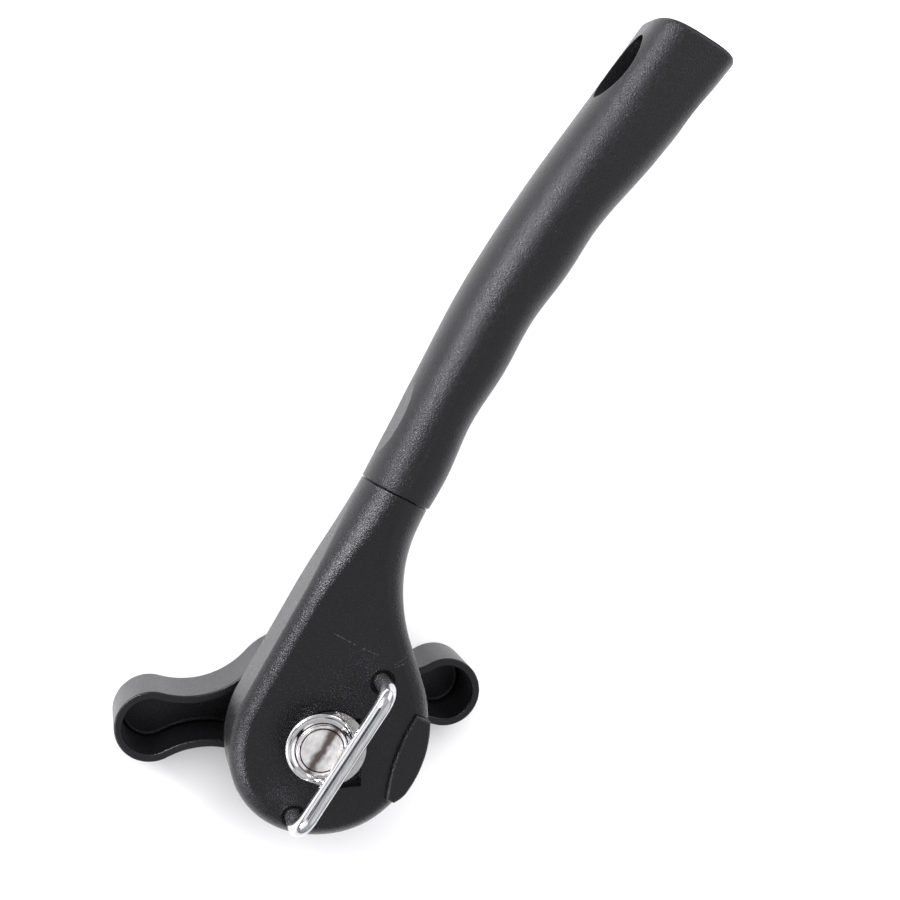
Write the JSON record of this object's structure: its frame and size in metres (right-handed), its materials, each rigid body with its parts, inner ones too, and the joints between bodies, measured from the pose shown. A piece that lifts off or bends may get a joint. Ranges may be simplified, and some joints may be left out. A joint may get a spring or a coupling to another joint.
{
  "type": "manual can opener",
  "caption": "Hand-held side-cutting can opener: oval grip, round head, cutting and feed wheels on an eccentric carrier, wire guide, rim ledge and winged turning knob.",
  "frame": {"origin": "on the spindle's axis, at the flat back of the turning knob", "axes": "+Z along the spindle, from the knob to the cutting side; +X along the handle, from the head to the end of the grip; +Y to the side away from the rim ledge"},
  "size_m": [0.2142, 0.0808, 0.0539],
  "materials": {
    "black_plastic": "fine-grained satin",
    "core_plastic": "glass-filled, matt",
    "polished_steel": "polished",
    "brushed_steel": "turned, fine rings",
    "steel": "ground",
    "bronze": "sintered"
  },
  "bodies": {
    "frame": {"head_housing": "black_plastic", "back_cover": "black_plastic", "cover_screw_1": "steel", "cover_screw_2": "steel", "cover_screw_3": "steel", "cover_screw_4": "steel", "rim_ledge": "black_plastic", "wire_guide": "polished_steel", "front_bush": "bronze", "rear_bush": "bronze", "stop_pin": "steel", "handle_core": "core_plastic", "grip": "black_plastic", "neck_screw": "steel", "grip_screw": "steel"},
    "carrier": {"eccentric_carrier": "steel", "friction_washer": "steel", "carrier_clip": "steel"},
    "spindle": {"drive_shaft": "steel", "feed_wheel": "steel", "wheel_cap": "brushed_steel", "knob_washer": "steel", "knob": "black_plastic"},
    "cutter": {"cutter_wheel": "polished_steel"}
  },
  "joints": [
    {"name": "carrier_swing", "type": "hinge", "parent": "frame", "child": "carrier", "pos_m": [-0.00015, -0.00295, 0.03], "axis": [0, 0, 1], "range_deg": [0, 150]},
    {"name": "knob_turn", "type": "hinge", "parent": "carrier", "child": "spindle", "pos_m": [0, 0, 0.03], "axis": [0, 0, 1], "continuous": true},
    {"name": "cutter_spin", "type": "hinge", "parent": "spindle", "child": "cutter", "pos_m": [0, 0, 0.0476], "axis": [0, 0, 1], "continuous": true}
  ]
}
